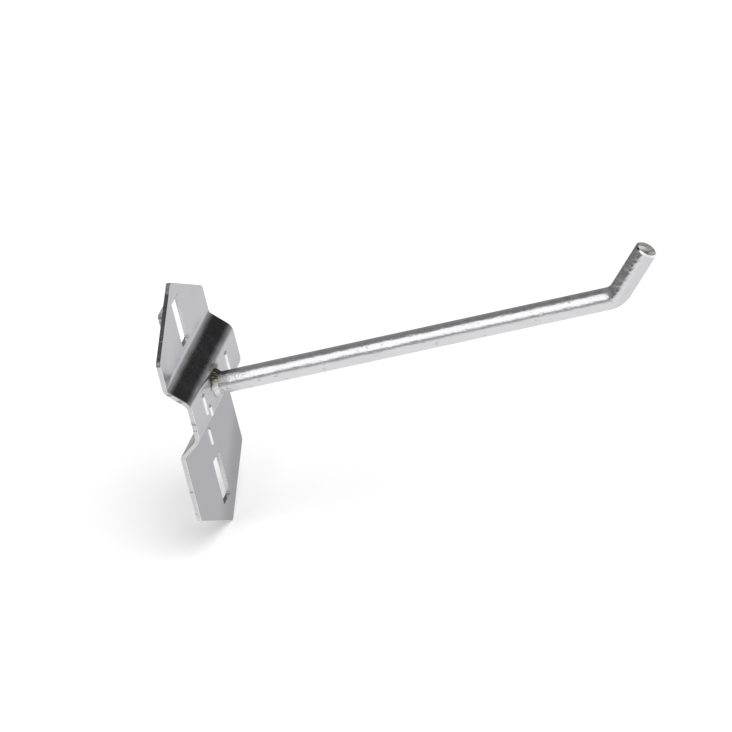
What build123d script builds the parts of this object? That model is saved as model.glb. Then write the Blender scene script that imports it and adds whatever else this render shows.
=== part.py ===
from build123d import *
from math import cos, radians, sin, tan
import os

# Single hook for a perforated steel tool panel, in millimetres.
# X runs across the plate, the rod points along -Y, and Z is up.
# The origin lies on the back face of the plate, midway between the two lugs.

# Back plate, one folded sheet
SHEET = 1.0
PLATE_WIDTH = 36.0
APEX_HEIGHT = 10.05
SIDE_CORNER_RADIUS = 1.2
APEX_RADIUS = 0.8
EDGE_BREAK = 0.12

# Windows pierced in the flats, measured up and down from the middle of each lug
LUG_PITCH = 38.1
WINDOW_TOP = 6.4
WINDOW_BOTTOM = -4.45
WINDOW_WIDTH = 5.2
WINDOW_CORNER_RADIUS = 0.5
APEX_MARGIN = 3.4

# Raised band across the plate, between the two windows
BAND_RISE = 4.33
UPPER_FOLD_MARGIN = 2.25
UPPER_RAMP_DROP = 3.8
BAND_BOTTOM_Z = -0.1
LOWER_RAMP_DROP = 3.75
BAND_FOLD_RADIUS = 3.0
FLAT_FOLD_RADIUS = 1.0

# Lugs lanced out of the windows
LUG_SIDE_GAP = 0.15
LUG_TIP = 0.2
LUG_PANEL_GAP = 1.8
LUG_SLOPE = 47.0
LUG_BEND_RADIUS = 0.45
LUG_TIP_CHAMFER = 0.4
LUG_ROOT_OVERLAP = 0.5

# Ribs pressed forward out of the sheet
RIB_WIDTH = 1.3
RIB_HEIGHT = 0.35
BAND_RIB_X = 9.6
BAND_RIB_MARGIN = 1.8
FOLD_RIB_X = 7.0
FOLD_RIB_MARGIN = 0.2
FOLD_RIB_LENGTH = 2.9
LOWER_RIB_SHARE = 0.48

# Rod, butt-welded to the band and bent up at its tip
ROD_DIAMETER = 4.76
ROD_BELOW_MIDDLE = 0.1
ROD_TILT = 7.0
ROD_LENGTH = 91.4
TIP_LENGTH = 13.45
TIP_BEND = 42.8
TIP_BEND_RADIUS = 5.0
TIP_CHAMFER = 0.35

# Weld round the foot of the rod
WELD_LEG_ROD = 1.7
WELD_LEG_BAND = 1.2
WELD_CROWN = 0.25

# Places on the front face that follow from the sizes above
BAND_FRONT_Y = -(SHEET + BAND_RISE)
APEX_Z = LUG_PITCH / 2 + WINDOW_TOP + APEX_MARGIN
SIDE_Z = APEX_Z - APEX_HEIGHT
UPPER_FOLD_Z = LUG_PITCH / 2 + WINDOW_BOTTOM - UPPER_FOLD_MARGIN
BAND_TOP_Z = UPPER_FOLD_Z - UPPER_RAMP_DROP
LOWER_FOLD_Z = BAND_BOTTOM_Z - LOWER_RAMP_DROP
LOWER_FLAT_SPACE = LOWER_FOLD_Z - (WINDOW_TOP - LUG_PITCH / 2)
ROD_RADIUS = ROD_DIAMETER / 2
ROD_Z = (BAND_TOP_Z + BAND_BOTTOM_Z) / 2 - ROD_BELOW_MIDDLE


def side_plane():
    """Sketch plane whose x is the part's Y and whose y is the part's Z."""
    return Plane(origin=(0, 0, 0), x_dir=(0, 1, 0), z_dir=(1, 0, 0))


def front_plane(height):
    """Sketch plane at a height, whose x is the part's X and whose y is the part's Z."""
    return Plane(origin=(0, 0, height), x_dir=(1, 0, 0), z_dir=(0, -1, 0))


def bent_sheet(front_line, radii, width):
    """Sheet behind a line of front-face corners, with a bend radius at each inner corner."""
    with BuildPart() as sheet:
        with BuildSketch(side_plane()):
            with BuildLine():
                FilletPolyline(*front_line, radius=radii)
                offset(amount=SHEET, side=Side.LEFT)
            make_face()
        extrude(amount=width / 2, both=True)
    return sheet.part


def folded_band():
    """Sheet folded twice forward and twice back, as wide as the plate."""
    corners = [
        (-SHEET, APEX_Z),
        (-SHEET, UPPER_FOLD_Z),
        (BAND_FRONT_Y, BAND_TOP_Z),
        (BAND_FRONT_Y, BAND_BOTTOM_Z),
        (-SHEET, LOWER_FOLD_Z),
        (-SHEET, -APEX_Z),
    ]
    radii = [FLAT_FOLD_RADIUS, BAND_FOLD_RADIUS, BAND_FOLD_RADIUS, FLAT_FOLD_RADIUS]
    return bent_sheet(corners, radii, PLATE_WIDTH)


def outline():
    """Hexagon with a blunt point at its top and bottom, as deep as the folded sheet."""
    half_width = PLATE_WIDTH / 2
    corners = [
        (0, APEX_Z),
        (half_width, SIDE_Z),
        (half_width, -SIDE_Z),
        (0, -APEX_Z),
        (-half_width, -SIDE_Z),
        (-half_width, SIDE_Z),
    ]
    half_radii = [APEX_RADIUS, SIDE_CORNER_RADIUS, SIDE_CORNER_RADIUS]
    with BuildPart() as block:
        with BuildSketch(front_plane(0)):
            with BuildLine():
                FilletPolyline(*corners, radius=half_radii + half_radii, close=True)
            make_face()
        extrude(amount=2 * abs(BAND_FRONT_Y), both=True)
    return block.part


def window(centre_z):
    """Opening left in the flat by a lug, down to its pierced lower end."""
    height = WINDOW_TOP - WINDOW_BOTTOM
    middle = centre_z + (WINDOW_TOP + WINDOW_BOTTOM) / 2
    with BuildPart() as cut:
        with BuildSketch(front_plane(middle)):
            RectangleRounded(WINDOW_WIDTH, height, WINDOW_CORNER_RADIUS)
        extrude(amount=2 * SHEET, both=True)
    return cut.part


def lug(centre_z):
    """Tongue that leaves the flat at its root, slopes back and hangs down behind it."""
    root = centre_z + WINDOW_TOP
    corner = root - (LUG_BEND_RADIUS + SHEET) * tan(radians(LUG_SLOPE / 2))
    run = (SHEET + LUG_PANEL_GAP) / tan(radians(LUG_SLOPE))
    corners = [
        (-SHEET, root + LUG_ROOT_OVERLAP),
        (-SHEET, corner),
        (LUG_PANEL_GAP, corner - run),
        (LUG_PANEL_GAP, centre_z + LUG_TIP),
    ]
    radii = [LUG_BEND_RADIUS + SHEET, LUG_BEND_RADIUS]
    tongue = bent_sheet(corners, radii, WINDOW_WIDTH - 2 * LUG_SIDE_GAP)
    tip_face = tongue.faces().sort_by(Axis.Z)[0]
    long_edges = tip_face.edges().filter_by(Axis.X)
    return chamfer(long_edges, LUG_TIP_CHAMFER)


def capsule(x, z, length, face_y):
    """Round-ended bar lying upright, whose crown stands RIB_HEIGHT in front of face_y."""
    radius = (RIB_HEIGHT**2 + (RIB_WIDTH / 2) ** 2) / (2 * RIB_HEIGHT)
    half_bar = length / 2 - RIB_WIDTH / 2
    axis_y = face_y + radius - RIB_HEIGHT
    bar = Pos(x, axis_y, z) * Cylinder(radius, 2 * half_bar)
    ends = [Pos(x, axis_y, z + way * half_bar) * Sphere(radius) for way in (-1, 1)]
    return bar + ends[0] + ends[1]


def add_rib(plate, x, z, length, face_y):
    """Press one rib forward: a crown on the front and the same hollow in the back."""
    reach = 4 * RIB_WIDTH + length
    front_half = Pos(x, face_y + SHEET / 2 - reach / 2, z) * Box(reach, reach, reach)
    crown = capsule(x, z, length, face_y) & front_half
    hollow = capsule(x, z, length, face_y + SHEET)
    return plate + crown - hollow


def back_plate():
    """Folded sheet with its outline, windows, lugs and ribs."""
    plate = folded_band() & outline()
    rim = plate.edges().filter_by(lambda edge: not is_fold_line(edge))
    plate = fillet(rim, EDGE_BREAK)
    for way in (-1, 1):
        centre_z = way * LUG_PITCH / 2
        plate = plate - window(centre_z) + lug(centre_z)
    band_middle = (BAND_TOP_Z + BAND_BOTTOM_Z) / 2
    band_rib_length = BAND_TOP_Z - BAND_BOTTOM_Z - 2 * BAND_RIB_MARGIN
    fold_rib_z = BAND_BOTTOM_Z + FOLD_RIB_MARGIN + FOLD_RIB_LENGTH / 2
    for way in (-1, 1):
        plate = add_rib(plate, way * BAND_RIB_X, band_middle, band_rib_length, BAND_FRONT_Y)
        plate = add_rib(plate, way * FOLD_RIB_X, fold_rib_z, FOLD_RIB_LENGTH, BAND_FRONT_Y)
    lower_rib_z = LOWER_FOLD_Z - LOWER_FLAT_SPACE / 2
    lower_rib_length = LOWER_RIB_SHARE * LOWER_FLAT_SPACE
    return add_rib(plate, 0, lower_rib_z, lower_rib_length, -SHEET)


def is_fold_line(edge):
    """True for the seams between flats and bends, which run straight across the plate."""
    start = edge.position_at(0)
    end = edge.position_at(1)
    return abs(start.Y - end.Y) < 1e-4 and abs(start.Z - end.Z) < 1e-4


def rod_point(distance):
    """Point on the rod's axis, this far in front of the band, as (y, z)."""
    tilt = radians(ROD_TILT)
    return (BAND_FRONT_Y - distance * cos(tilt), ROD_Z + distance * sin(tilt))


def in_front_of_band(solid):
    """The part of a solid that lies in front of the band's flat."""
    band_face = Plane(origin=(0, BAND_FRONT_Y, 0), z_dir=(0, -1, 0))
    return split(solid, bisect_by=band_face, keep=Keep.TOP)


def rod():
    """Round bar on a rising line, bent up near its end and cut off square."""
    bend = rod_point(ROD_LENGTH)
    rise = radians(ROD_TILT + TIP_BEND)
    end = (bend[0] - TIP_LENGTH * cos(rise), bend[1] + TIP_LENGTH * sin(rise))
    with BuildPart() as bar:
        with BuildLine(side_plane()) as axis:
            FilletPolyline(rod_point(-ROD_DIAMETER), bend, end, radius=TIP_BEND_RADIUS)
        with BuildSketch(Plane(origin=axis.line @ 0, z_dir=axis.line % 0)):
            Circle(ROD_RADIUS)
        sweep()
        tip = bar.faces().sort_by(Axis.Y)[0]
        chamfer(tip.edges(), TIP_CHAMFER)
    return in_front_of_band(bar.part)


def weld_bead():
    """Ring of weld metal that fills the corner between the rod and the band."""
    foot = rod_point(0)
    tilt = radians(ROD_TILT)
    along_rod = Vector(0, -cos(tilt), sin(tilt))
    section = Plane(origin=(0, foot[0], foot[1]), x_dir=(1, 0, 0), z_dir=(0, -sin(tilt), -cos(tilt)))
    sink = SHEET / 2
    with BuildPart() as ring:
        with BuildSketch(section):
            with BuildLine():
                Line((ROD_RADIUS, -sink), (ROD_RADIUS, WELD_LEG_ROD))
                SagittaArc((ROD_RADIUS, WELD_LEG_ROD), (ROD_RADIUS + WELD_LEG_BAND, 0), WELD_CROWN)
                Line((ROD_RADIUS + WELD_LEG_BAND, 0), (ROD_RADIUS + WELD_LEG_BAND, -sink))
                Line((ROD_RADIUS + WELD_LEG_BAND, -sink), (ROD_RADIUS, -sink))
            make_face()
        revolve(axis=Axis(origin=(0, foot[0], foot[1]), direction=along_rod))
    return in_front_of_band(ring.part)


def main():
    os.makedirs("parts", exist_ok=True)
    export_step(back_plate(), "parts/back_plate.step")
    export_step(rod(), "parts/rod.step")
    export_step(weld_bead(), "parts/weld_bead.step")


main()
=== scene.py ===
import math
import random

import bmesh
import bpy
from mathutils import Matrix, Vector


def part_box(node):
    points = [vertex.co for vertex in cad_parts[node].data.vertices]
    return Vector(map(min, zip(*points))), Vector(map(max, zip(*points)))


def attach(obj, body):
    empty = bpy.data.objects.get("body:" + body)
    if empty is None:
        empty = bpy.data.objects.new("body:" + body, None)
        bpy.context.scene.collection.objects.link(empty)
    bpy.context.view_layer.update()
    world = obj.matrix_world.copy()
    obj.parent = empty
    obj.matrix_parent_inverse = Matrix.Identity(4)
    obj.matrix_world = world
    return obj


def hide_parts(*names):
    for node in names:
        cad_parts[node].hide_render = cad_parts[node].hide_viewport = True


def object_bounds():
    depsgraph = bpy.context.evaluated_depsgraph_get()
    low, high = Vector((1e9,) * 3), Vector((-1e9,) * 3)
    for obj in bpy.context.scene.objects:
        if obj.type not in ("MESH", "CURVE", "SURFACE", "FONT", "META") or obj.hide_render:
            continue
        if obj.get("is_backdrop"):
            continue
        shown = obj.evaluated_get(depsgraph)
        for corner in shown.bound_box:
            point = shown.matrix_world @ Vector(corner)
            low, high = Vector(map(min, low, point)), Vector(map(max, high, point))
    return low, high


MM = 0.001

# Camera, as fitted to the photograph
CAMERA_AZIMUTH = math.radians(-68.95)
CAMERA_ELEVATION = math.radians(25.25)
CAMERA_ROLL = math.radians(-14.8)
CAMERA_DISTANCE = 1486.8 * MM
CAMERA_LENS = 344.3
SENSOR_WIDTH = 36.0
CLIP_START = 10 * MM
AIM_RIGHT = 34.84 * MM
AIM_UP = 7.76 * MM
PLATE_FRONT_Y = -1.0 * MM

# Rod and weld, in the part's own sizes
ROD_TILT = math.radians(7.0)
TIP_RISE = math.radians(7.0 + 42.8)
ROD_RADIUS = 2.38 * MM
WELD_LEG_ROD = 1.7 * MM
WELD_LEG_BAND = 1.2 * MM

# Bends between the flats and their ramps, and the wider radius that their light is eased to
UPPER_BEND_Z = 12.39 * MM
LOWER_BEND_Z = -3.89 * MM
BEND_HALF_TURN = math.radians(24.4)
BEND_RADIUS = 1.0 * MM
EASED_RADIUS = 3.2 * MM
RAMP_STRETCH = 1.45

# Weld ring and spatter
RING_STEPS = 240
RING_ROWS = 14
RING_CROWN = 0.06 * MM
RING_SINK = 0.05 * MM
RIPPLES = 24
SPATTER_BEADS = 16

# Heat marks beside the weld: their side, how unevenly they end, and how far out each starts and is full
BURNT_SIDE = (-0.25, 0, 0.97)
HEAT_WANDER = 1.6 * MM
BROWN_START, BROWN_FULL = 6.3 * MM, 4.6 * MM
SOOT_START, SOOT_FULL = 5.6 * MM, 4.3 * MM

# Colours of the sheet; its lower tone, far corner tone, upper edge tone and lugs' edge tone are painted
# shade
SHEET_DULL = (0.655, 0.645, 0.680, 1)
SHEET_BRIGHT = (0.745, 0.735, 0.760, 1)
SHEET_CRYSTAL = (0.60, 0.60, 0.64, 1)
SHEET_LOWER_PAINTED_SHADE = (0.50, 0.49, 0.515, 1)
SHEET_CORNER_PAINTED_SHADE = (0.37, 0.375, 0.385, 1)
SHEET_BROWN = (0.17, 0.16, 0.145, 1)
SHEET_SOOT = (0.10, 0.09, 0.075, 1)
EDGE_DULL = (0.72, 0.715, 0.73, 1)
EDGE_BRIGHT = (0.98, 0.975, 0.98, 1)
EDGE_NICK = (0.40, 0.39, 0.40, 1)
EDGE_UPPER_PAINTED_SHADE = (0.30, 0.30, 0.31, 1)
EDGE_OF_LUG_PAINTED_SHADE = (0.26, 0.25, 0.26, 1)

# Colours of the rod
WIRE_DULL = (0.87, 0.86, 0.885, 1)
WIRE_BRIGHT = (0.94, 0.935, 0.945, 1)
WIRE_SPECK = (0.40, 0.39, 0.40, 1)
WIRE_BROWN = (0.42, 0.39, 0.33, 1)
WIRE_SOOT = (0.16, 0.15, 0.12, 1)
SAWN_DULL = (0.55, 0.555, 0.54, 1)
SAWN_BRIGHT = (0.98, 0.98, 0.97, 1)

# Colours of the weld
WELD_DULL = (0.60, 0.59, 0.60, 1)
WELD_BRIGHT = (0.84, 0.83, 0.85, 1)
BURNT_DARK = (0.085, 0.078, 0.06, 1)
BURNT_LIGHT = (0.46, 0.44, 0.39, 1)

# Studio: how bright each part of the room is in the metal
WHITE = (1, 1, 1, 1)
ROOM_LEVEL = 0.012
REAR_WALL_LEVEL = 0.22
RIGHT_WALL_LEVEL = 0.14
LEFT_GAP_LEVEL = 0.26
SOFT_BOX_LEVEL = 1.10
FRONT_LEVEL = 0.85

# Floor and lamp
FLOOR_GAP = 0.1 * MM
FLOOR_REACH = 4.0
PAPER = (0.93, 0.93, 0.93, 1)
PAPER_GLOW = 0.25
LAMP_TOWARD = (-0.42, -0.36, 0.84)
LAMP_SPREAD = math.radians(55)
LAMP_STRENGTH = 2.5

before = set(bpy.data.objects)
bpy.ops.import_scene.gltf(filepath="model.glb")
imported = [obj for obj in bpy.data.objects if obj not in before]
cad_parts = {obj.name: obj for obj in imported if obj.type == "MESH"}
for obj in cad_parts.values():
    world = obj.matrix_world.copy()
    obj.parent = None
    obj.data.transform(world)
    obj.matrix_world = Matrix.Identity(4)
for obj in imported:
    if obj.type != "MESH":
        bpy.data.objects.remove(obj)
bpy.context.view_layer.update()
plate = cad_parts["back_plate"]
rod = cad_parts["rod"]
weld_low, weld_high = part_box("weld_bead")
band_y = weld_high.y
foot = Vector((0.0, band_y, (weld_low.z + weld_high.z) / 2 + 0.05 * MM))
rod_axis = Vector((0.0, -math.cos(ROD_TILT), math.sin(ROD_TILT)))
tip_axis = (0.0, -math.cos(TIP_RISE), math.sin(TIP_RISE))
rod_low, rod_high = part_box("rod")
end_dent = Vector((-1.2 * MM, rod_low.y + 0.85 * ROD_RADIUS, rod_high.z - 0.35 * ROD_RADIUS))


class Graph:
    """A node tree that is written as nested calls."""

    def __init__(self, tree):
        self.tree = tree
        tree.nodes.clear()

    def add(self, kind, inputs=None, **settings):
        node = self.tree.nodes.new(kind)
        for name, value in settings.items():
            setattr(node, name, value)
        for name, value in (inputs or {}).items():
            self.feed(node.inputs[name], value)
        return node

    def feed(self, socket, value):
        if isinstance(value, bpy.types.NodeSocket):
            self.tree.links.new(value, socket)
        else:
            socket.default_value = value

    def calc(self, operation, a, b=0.0):
        return self.add("ShaderNodeMath", {0: a, 1: b}, operation=operation).outputs[0]

    def plus(self, a, b):
        return self.calc("ADD", a, b)

    def minus(self, a, b):
        return self.calc("SUBTRACT", a, b)

    def times(self, a, b):
        return self.calc("MULTIPLY", a, b)

    def size(self, a):
        return self.calc("ABSOLUTE", a)

    def ramp(self, value, low, high, at_low=0.0, at_high=1.0):
        """Smooth step of value from low to high, also where low is the larger one."""
        ends = {"From Min": low, "From Max": high, "To Min": at_low, "To Max": at_high}
        if low > high:
            ends = {"From Min": high, "From Max": low, "To Min": at_high, "To Max": at_low}
        ends["Value"] = value
        return self.add("ShaderNodeMapRange", ends, interpolation_type="SMOOTHSTEP").outputs["Result"]

    def blend(self, share, a, b):
        """Number a where share is 0, and b where it is 1."""
        return self.add("ShaderNodeMix", {0: share, 2: a, 3: b}, data_type="FLOAT").outputs[0]

    def tint(self, share, a, b):
        """Colour a where share is 0, and b where it is 1."""
        return self.add("ShaderNodeMix", {0: share, 6: a, 7: b}, data_type="RGBA").outputs[2]

    def mix(self, share, a, b):
        """Shader a where share is 0, and b where it is 1."""
        shaders = {0: share, 1: a.outputs[0], 2: b.outputs[0]}
        return self.add("ShaderNodeMixShader", shaders)

    def axes(self, vector):
        split = self.add("ShaderNodeSeparateXYZ", {0: vector})
        return split.outputs[0], split.outputs[1], split.outputs[2]

    def away_from(self, vector, point):
        node = self.add("ShaderNodeVectorMath", {0: vector, 1: point}, operation="SUBTRACT")
        return node.outputs["Vector"]

    def distance(self, vector, point):
        node = self.add("ShaderNodeVectorMath", {0: vector, 1: point}, operation="DISTANCE")
        return node.outputs["Value"]

    def reach(self, vector, direction):
        """How far a vector goes in a direction."""
        node = self.add("ShaderNodeVectorMath", {0: vector, 1: direction}, operation="DOT_PRODUCT")
        return node.outputs["Value"]

    def noise(self, vector, scale, detail=3.0, roughness=0.5, stretch=(1, 1, 1), turn=0.0):
        """Noise of about the given scale per metre, drawn out along the axes with a small stretch."""
        placing = {"Vector": vector, "Scale": stretch, "Rotation": (turn, 0, 0)}
        mapped = self.add("ShaderNodeMapping", placing)
        values = {"Vector": mapped.outputs[0], "Scale": scale, "Detail": detail, "Roughness": roughness}
        return self.add("ShaderNodeTexNoise", values).outputs["Fac"]

    def bump(self, height, strength, depth, base=None):
        """Normal of a surface raised by a height, on top of the normal that is given as its base."""
        inputs = {"Height": height, "Strength": strength, "Distance": depth}
        if base is not None:
            inputs["Normal"] = base
        return self.add("ShaderNodeBump", inputs).outputs["Normal"]

    def finish(self, shader):
        self.add("ShaderNodeOutputMaterial", {"Surface": shader.outputs[0]})

    def finish_metal(self, colour, roughness, normal):
        inputs = {"Base Color": colour, "Metallic": 1.0, "Roughness": roughness, "Normal": normal}
        self.finish(self.add("ShaderNodeBsdfPrincipled", inputs))


def new_material(name):
    material = bpy.data.materials.new(name)
    material.use_nodes = True
    return material, Graph(material.node_tree)


def paint(obj, material):
    obj.data.materials.clear()
    obj.data.materials.append(material)


def add_to_scene(obj):
    bpy.context.scene.collection.objects.link(obj)


def heat(graph, place):
    """How brown and how sooty the metal is: near the weld, on its upper left, and on the front only."""
    wander = graph.times(graph.noise(place, 900.0, 4.0, 0.6), HEAT_WANDER)
    away = graph.plus(graph.distance(place, foot), wander)
    from_foot = graph.away_from(place, foot)
    on_side = graph.ramp(graph.reach(from_foot, BURNT_SIDE), 0.8 * MM, 2.3 * MM)
    on_front = graph.ramp(graph.axes(from_foot)[1], 0.8 * MM, 0.3 * MM)
    burnt = graph.times(on_side, on_front)
    brown = graph.times(graph.ramp(away, BROWN_START, BROWN_FULL), burnt)
    soot = graph.times(graph.ramp(away, SOOT_START, SOOT_FULL), burnt)
    return brown, soot


def fill_of_bend(graph, away, radius):
    """Height of a bend's round face over its flat and ramp, by the way along the sheet from its middle."""
    inside = graph.calc("MAXIMUM", graph.minus(BEND_HALF_TURN * radius, away), 0.0)
    return graph.times(graph.calc("POWER", inside, 2.0), 0.5 / radius)


def eased_bend(graph, z, bend_z, flat_side):
    """Height that eases a bend to a wider radius. flat_side is 1 with the flat above it, and else -1."""
    to_flat = graph.times(graph.minus(z, bend_z), flat_side)
    away = graph.calc("MAXIMUM", to_flat, graph.times(to_flat, -RAMP_STRETCH))
    return graph.minus(fill_of_bend(graph, away, EASED_RADIUS), fill_of_bend(graph, away, BEND_RADIUS))


def zinc_sheet():
    """Bright zinc on rolled sheet, torn on its sheared edges, and tinted beside the weld. Painted shade
    darkens its up-facing edges, the edges of its lugs, its lower part and its far lower corner.
    """
    material, graph = new_material("zinc_sheet_plated")
    place = graph.add("ShaderNodeTexCoord").outputs["Object"]
    x, y, z = graph.axes(place)
    facing_x, facing_y, facing_z = graph.axes(graph.add("ShaderNodeNewGeometry").outputs["True Normal"])
    sheared = graph.ramp(graph.size(facing_x), 0.22, 0.42)
    warp = graph.noise(place, 45.0, 2.0, 0.4)
    rolled = graph.noise(place, 420.0, 5.0, 0.6, stretch=(6, 6, 0.5))
    cloud = graph.noise(place, 160.0)
    crystal = graph.add("ShaderNodeTexVoronoi", {"Vector": place, "Scale": 1100.0})
    grain = graph.axes(crystal.outputs["Color"])[0]
    torn = graph.noise(place, 1500.0, 4.0, 0.65, stretch=(1, 0.12, 1))
    brown, soot = heat(graph, place)

    # Painted shade: the far lower corner is darkened as if it were bent forward, a bend the sheet's shape
    # does not have
    far_corner_painted_shade = graph.ramp(graph.reach(place, (0.4875, 0, -0.873)), 15.5 * MM, 23.0 * MM)
    clean = graph.tint(cloud, SHEET_DULL, SHEET_BRIGHT)
    clean = graph.tint(graph.times(grain, 0.10), clean, SHEET_CRYSTAL)
    # Painted shade: the sheet is darkened towards the bottom, standing in for the dimmer light on the
    # lower flat
    clean = graph.tint(graph.times(graph.ramp(z, 5 * MM, -5 * MM), 0.80), clean, SHEET_LOWER_PAINTED_SHADE)
    clean = graph.tint(graph.times(far_corner_painted_shade, 0.9), clean, SHEET_CORNER_PAINTED_SHADE)

    off_middle = graph.ramp(graph.size(x), 4 * MM, 5 * MM)
    nick = graph.ramp(graph.noise(place, 900.0, 2.0, 0.5, stretch=(0.25, 0.15, 1)), 0.62, 0.66)
    nick = graph.times(nick, off_middle)
    # Painted shade: sheared edges that face up, away from the middle, are darkened as the dark room above
    # would make them
    upper = graph.times(graph.ramp(facing_z, 0.05, 0.25), graph.ramp(graph.size(x), 2 * MM, 3 * MM))
    # Painted shade: the sheared edges of the lugs behind the plate are darkened
    lug_edge_shade = graph.times(graph.ramp(y, 0.1 * MM, 0.7 * MM), graph.ramp(torn, 0.38, 0.60, 1.0, 0.45))
    edge = graph.tint(torn, EDGE_DULL, EDGE_BRIGHT)
    edge = graph.tint(graph.times(nick, 0.8), edge, EDGE_NICK)
    edge = graph.tint(upper, edge, EDGE_UPPER_PAINTED_SHADE)
    edge = graph.tint(lug_edge_shade, edge, EDGE_OF_LUG_PAINTED_SHADE)

    colour = graph.tint(sheared, clean, edge)
    colour = graph.tint(graph.times(brown, 0.75), colour, SHEET_BROWN)
    colour = graph.tint(graph.times(soot, 0.70), colour, SHEET_SOOT)

    rough = graph.plus(0.17, graph.times(graph.noise(place, 700.0, 4.0), 0.10))
    rough = graph.blend(sheared, rough, 0.30)
    rough = graph.plus(rough, graph.times(brown, 0.10))

    eased = graph.plus(eased_bend(graph, z, UPPER_BEND_Z, 1), eased_bend(graph, z, LOWER_BEND_Z, -1))
    eased = graph.times(eased, graph.ramp(facing_y, 0.0, -0.2))
    ragged = graph.plus(graph.times(torn, 0.5), graph.times(nick, -0.5))
    normal = graph.bump(eased, 1.0, 1.0)
    normal = graph.bump(warp, 1.0, 0.60 * MM, normal)
    normal = graph.bump(rolled, 0.10, 0.02 * MM, normal)
    normal = graph.bump(grain, 0.06, 0.01 * MM, normal)
    normal = graph.bump(graph.times(ragged, sheared), 0.8, 0.16 * MM, normal)
    graph.finish_metal(colour, rough, normal)
    return material


def zinc_wire():
    """Bright zinc on drawn wire: waves and grit fray its reflections, and its sawn end is torn."""
    material, graph = new_material("zinc_wire_plated")
    place = graph.add("ShaderNodeTexCoord").outputs["Object"]
    facing = graph.add("ShaderNodeNewGeometry").outputs["True Normal"]
    sawn = graph.ramp(graph.reach(facing, tip_axis), 0.90, 0.97)
    drawn = graph.noise(place, 2600.0, 4.0, 0.6, stretch=(1, 0.03, 1), turn=ROD_TILT)
    waves = graph.noise(place, 620.0, 3.0, 0.55, stretch=(1.0, 0.6, 1.0))
    grit = graph.noise(place, 2300.0, 2.0, 0.6)
    speck = graph.noise(place, 1500.0, 2.0, 0.5, stretch=(1, 0.45, 1), turn=ROD_TILT)
    speck = graph.ramp(speck, 0.675, 0.71)
    torn = graph.noise(place, 620.0, 5.0, 0.65)
    cloud = graph.noise(place, 140.0)
    brown, soot = heat(graph, place)

    colour = graph.tint(cloud, WIRE_DULL, WIRE_BRIGHT)
    colour = graph.tint(graph.times(speck, 0.35), colour, WIRE_SPECK)
    colour = graph.tint(graph.times(brown, 0.18), colour, WIRE_BROWN)
    colour = graph.tint(graph.times(soot, 0.45), colour, WIRE_SOOT)
    colour = graph.tint(sawn, colour, graph.tint(torn, SAWN_DULL, SAWN_BRIGHT))

    rough = graph.plus(0.12, graph.times(graph.noise(place, 900.0), 0.08))
    rough = graph.plus(rough, graph.times(soot, 0.12))
    rough = graph.blend(sawn, rough, 0.55)

    dent = graph.ramp(graph.distance(place, end_dent), 0.3 * MM, 1.5 * MM, -1.0, 0.0)
    cut_face = graph.plus(graph.times(torn, 0.9), dent)
    normal = graph.bump(waves, 1.0, 0.12 * MM)
    normal = graph.bump(grit, 1.0, 0.045 * MM, normal)
    normal = graph.bump(speck, 0.8, -0.03 * MM, normal)
    normal = graph.bump(drawn, 0.10, 0.02 * MM, normal)
    normal = graph.bump(graph.times(cut_face, sawn), 1.0, 0.9 * MM, normal)
    graph.finish_metal(colour, rough, normal)
    return material


def weld_metal():
    """Weld metal: pale like the rod, and burnt olive and brown on one side."""
    material, graph = new_material("weld_metal_tinted")
    place = graph.add("ShaderNodeTexCoord").outputs["Object"]
    blotch = graph.noise(place, 900.0, 4.0, 0.6)
    pits = graph.noise(place, 3600.0, 3.0, 0.6)
    soot = heat(graph, place)[1]
    pale = graph.tint(blotch, WELD_DULL, WELD_BRIGHT)
    burnt = graph.tint(graph.ramp(blotch, 0.40, 0.62), BURNT_DARK, BURNT_LIGHT)
    colour = graph.tint(soot, pale, burnt)
    rough = graph.blend(blotch, 0.46, 0.34)
    graph.finish_metal(colour, rough, graph.bump(pits, 0.25, 0.04 * MM))
    return material


def smooth_object(name, mesh_data):
    mesh = bpy.data.meshes.new(name)
    mesh_data.to_mesh(mesh)
    mesh_data.free()
    for polygon in mesh.polygons:
        polygon.use_smooth = True
    obj = bpy.data.objects.new(name, mesh)
    add_to_scene(obj)
    return obj


def ring_swell(angle):
    """How much larger the weld is at an angle round the rod, as a share of its legs. It is least below."""
    lopsided = 0.28 * math.sin(angle) - 0.28
    return lopsided + 0.05 * math.sin(2 * angle + 0.7) + 0.04 * math.sin(5 * angle + 2.1)


def ring_ripple(angle):
    """Height of the weld's ripples at an angle round the rod. They stand out on the burnt side."""
    burnt_side = max(0.0, math.sin(angle - 0.75))
    height = (0.008 + 0.05 * burnt_side) * MM
    return height * math.sin(RIPPLES * angle + 1.3 * math.sin(3 * angle))


def ring_section(angle, outward):
    """Closed section of the weld: its face from rod to band, then back inside the sheet and the rod."""
    swell = ring_swell(angle)
    leg_rod = WELD_LEG_ROD * (0.92 + swell)
    leg_band = WELD_LEG_BAND * (0.95 + 0.9 * swell)
    section = []
    for row in range(RING_ROWS):
        share = row / (RING_ROWS - 1)
        crown = 0.75 * math.sin(math.pi * share) * (RING_CROWN + ring_ripple(angle))
        radius = ROD_RADIUS - RING_SINK + (leg_band + RING_SINK) * share
        along = leg_rod * (1 - share)
        section.append(foot + outward * (radius + crown) + rod_axis * (along + crown))
    section[-1].y = band_y + 0.02 * MM
    section.append(section[-1] + Vector((0, 0.12 * MM, 0)) - outward * 0.9 * leg_band)
    section.append(foot + outward * (ROD_RADIUS - 0.25 * MM) + rod_axis * leg_rod * 0.9)
    deepest = band_y + 0.14 * MM
    return [(point.x, min(point.y, deepest), point.z) for point in section]


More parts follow.
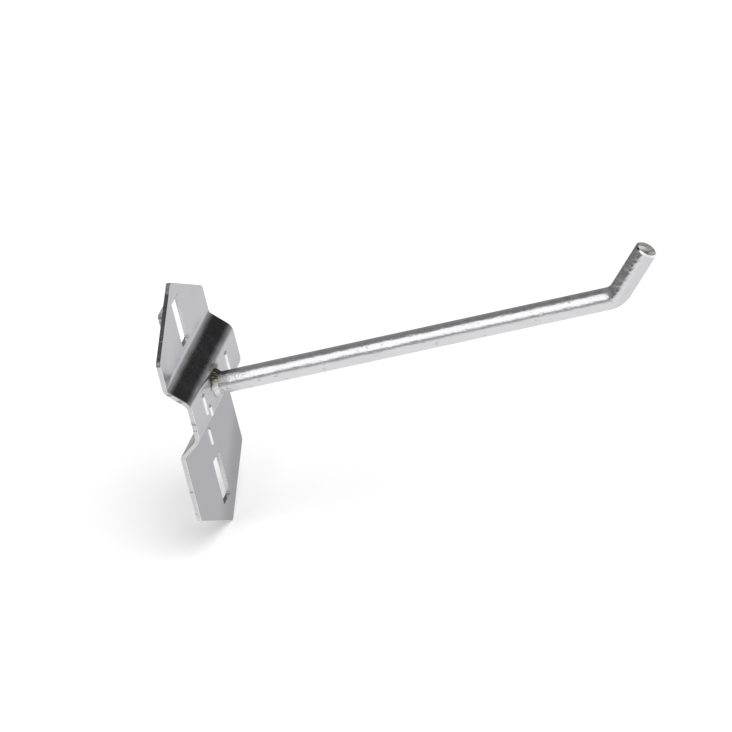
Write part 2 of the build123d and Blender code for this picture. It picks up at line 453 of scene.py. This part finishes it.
def weld_ring():
    """Uneven rippled bead in the corner between the rod and the band."""
    across = Vector((1, 0, 0))
    upward = rod_axis.cross(across).normalized()
    draft = bmesh.new()
    sections = []
    for step in range(RING_STEPS):
        angle = 2 * math.pi * step / RING_STEPS
        outward = across * math.cos(angle) + upward * math.sin(angle)
        sections.append([draft.verts.new(point) for point in ring_section(angle, outward)])
    for here, there in zip(sections, sections[1:] + sections[:1]):
        for corner in range(len(here)):
            after = (corner + 1) % len(here)
            draft.faces.new((here[corner], there[corner], there[after], here[after]))
    bmesh.ops.recalc_face_normals(draft, faces=draft.faces)
    return smooth_object("weld_ring", draft)


def weld_spatter():
    """Small beads thrown on the band round the weld."""
    chance = random.Random(7)
    draft = bmesh.new()
    for _ in range(SPATTER_BEADS):
        angle = chance.uniform(0, 2 * math.pi)
        away = ROD_RADIUS + WELD_LEG_BAND + chance.uniform(0.1, 1.9) * MM
        size = chance.uniform(0.07, 0.16) * MM
        centre = Vector((away * math.cos(angle), band_y, foot.z + away * math.sin(angle)))
        squash = Matrix.Diagonal((1.0, 0.55, chance.uniform(0.8, 1.25), 1.0))
        turn = Matrix.Rotation(chance.uniform(0, 3), 4, "Y")
        shape = Matrix.Translation(centre) @ turn @ squash
        bmesh.ops.create_icosphere(draft, subdivisions=2, radius=size, matrix=shape)
    return smooth_object("weld_spatter", draft)


def soft_sun():
    """Broad soft lamp, which the metal doesn't mirror."""
    lamp = bpy.data.lights.new("key_light", "SUN")
    lamp.angle = LAMP_SPREAD
    lamp.energy = LAMP_STRENGTH
    obj = bpy.data.objects.new("key_light", lamp)
    obj.rotation_euler = (-Vector(LAMP_TOWARD)).to_track_quat("-Z", "Y").to_euler()
    obj.visible_glossy = False
    add_to_scene(obj)


def reflected_room(graph, x, y, z):
    """Brightness of the studio by direction: a pale table, a soft box, a lit front and dark walls."""
    corner = graph.times(graph.ramp(y, 0.0, 0.30), graph.ramp(x, 0.0, 0.5))
    corner = graph.times(corner, graph.ramp(y, 0.50, 0.40))
    horizon = graph.plus(z, graph.times(corner, 0.33))
    horizon = graph.plus(horizon, graph.ramp(y, 0.75, 0.95, 0.0, -0.2))
    table = graph.ramp(horizon, 0.0, -0.34)
    table_level = graph.plus(graph.ramp(y, -0.40, -0.64, 0.70, 1.10), graph.ramp(y, -0.2, 0.2, 0.0, 0.06))
    soft_box = graph.times(graph.ramp(x, 0.02, -0.30), graph.ramp(z, 0.11, 0.42))
    soft_box = graph.times(soft_box, graph.ramp(y, 0.72, 0.55))
    front = graph.ramp(y, -0.44, -0.76)
    rear_wall = graph.times(graph.ramp(y, 0.20, 0.50), graph.ramp(z, 0.0, 0.6, 0.4, 1.0))
    left_gap = graph.times(graph.ramp(x, -0.60, -0.85), graph.ramp(y, 0.50, 0.42))
    right_wall = graph.times(graph.ramp(y, 0.05, 0.30), graph.ramp(x, 0.70, 0.82))
    room = graph.plus(ROOM_LEVEL, graph.times(rear_wall, REAR_WALL_LEVEL))
    room = graph.plus(room, graph.times(right_wall, RIGHT_WALL_LEVEL))
    room = graph.plus(room, graph.times(left_gap, LEFT_GAP_LEVEL))
    room = graph.blend(soft_box, room, SOFT_BOX_LEVEL)
    room = graph.blend(front, room, FRONT_LEVEL)
    return graph.blend(table, room, table_level)


def studio_world():
    """White for the camera, the studio for the metal to reflect, and soft light for the rest."""
    world = bpy.data.worlds.new("studio")
    world.use_nodes = True
    bpy.context.scene.world = world
    graph = Graph(world.node_tree)
    x, y, z = graph.axes(graph.add("ShaderNodeTexCoord").outputs["Generated"])
    path = graph.add("ShaderNodeLightPath")
    ambient = graph.ramp(z, -0.35, 0.85, 0.08, 0.60)
    strength = graph.blend(path.outputs["Is Glossy Ray"], ambient, reflected_room(graph, x, y, z))
    strength = graph.blend(path.outputs["Is Camera Ray"], strength, 1.0)
    background = graph.add("ShaderNodeBackground", {"Color": WHITE, "Strength": strength})
    graph.add("ShaderNodeOutputWorld", {"Surface": background.outputs[0]})


def floor_paper():
    """Pale paper that glows a little to the camera, and is clear to reflections and from below."""
    material, graph = new_material("floor_paper")
    path = graph.add("ShaderNodeLightPath")
    paper = graph.add("ShaderNodeBsdfDiffuse", {"Color": PAPER})
    glow = graph.add("ShaderNodeEmission", {"Color": WHITE, "Strength": 1.0})
    clear = graph.add("ShaderNodeBsdfTransparent")
    seen = graph.mix(path.outputs["Is Camera Ray"], paper, graph.mix(PAPER_GLOW, paper, glow))
    from_below = graph.add("ShaderNodeNewGeometry").outputs["Backfacing"]
    hidden = graph.calc("MAXIMUM", from_below, path.outputs["Is Glossy Ray"])
    graph.finish(graph.mix(hidden, seen, clear))
    return material


def floor():
    """Plane just under the plate's lower point, which takes the soft shadow."""
    low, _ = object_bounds()
    level = low[2] - FLOOR_GAP
    corners = [(-1, -1), (1, -1), (1, 1), (-1, 1)]
    mesh = bpy.data.meshes.new("floor")
    mesh.from_pydata([(x * FLOOR_REACH, y * FLOOR_REACH, level) for x, y in corners], [], [(0, 1, 2, 3)])
    obj = bpy.data.objects.new("floor", mesh)
    add_to_scene(obj)
    paint(obj, floor_paper())
    obj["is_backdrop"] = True


def camera():
    """Long lens that looks past the plate, so that the rod lies in the frame as photographed."""
    toward = Vector((
        math.sin(CAMERA_AZIMUTH) * math.cos(CAMERA_ELEVATION),
        -math.cos(CAMERA_AZIMUTH) * math.cos(CAMERA_ELEVATION),
        math.sin(CAMERA_ELEVATION),
    ))
    level = Vector((0, 0, 1)).cross(toward).normalized()
    upright = toward.cross(level)
    right = level * math.cos(CAMERA_ROLL) + upright * math.sin(CAMERA_ROLL)
    up = upright * math.cos(CAMERA_ROLL) - level * math.sin(CAMERA_ROLL)
    plate_middle = Vector((0, PLATE_FRONT_Y, 0))
    place = plate_middle + toward * CAMERA_DISTANCE
    target = plate_middle + right * AIM_RIGHT + up * AIM_UP
    back = (place - target).normalized()
    side = up.cross(back).normalized()
    turn = Matrix((side, back.cross(side), back)).transposed().to_4x4()
    data = bpy.data.cameras.new("camera")
    data.lens = CAMERA_LENS
    data.sensor_width = SENSOR_WIDTH
    data.clip_start = CLIP_START
    obj = bpy.data.objects.new("camera", data)
    obj.matrix_world = Matrix.Translation(place) @ turn
    add_to_scene(obj)
    bpy.context.scene.camera = obj


weld_finish = weld_metal()
paint(plate, zinc_sheet())
paint(rod, zinc_wire())
paint(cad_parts["weld_bead"], weld_finish)

ring = weld_ring()
paint(ring, weld_finish)
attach(ring, "root")
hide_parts("weld_bead")

spatter = weld_spatter()
paint(spatter, weld_finish)
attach(spatter, "root")

floor()
studio_world()
soft_sun()
camera()
bpy.context.scene.view_settings.view_transform = "Standard"
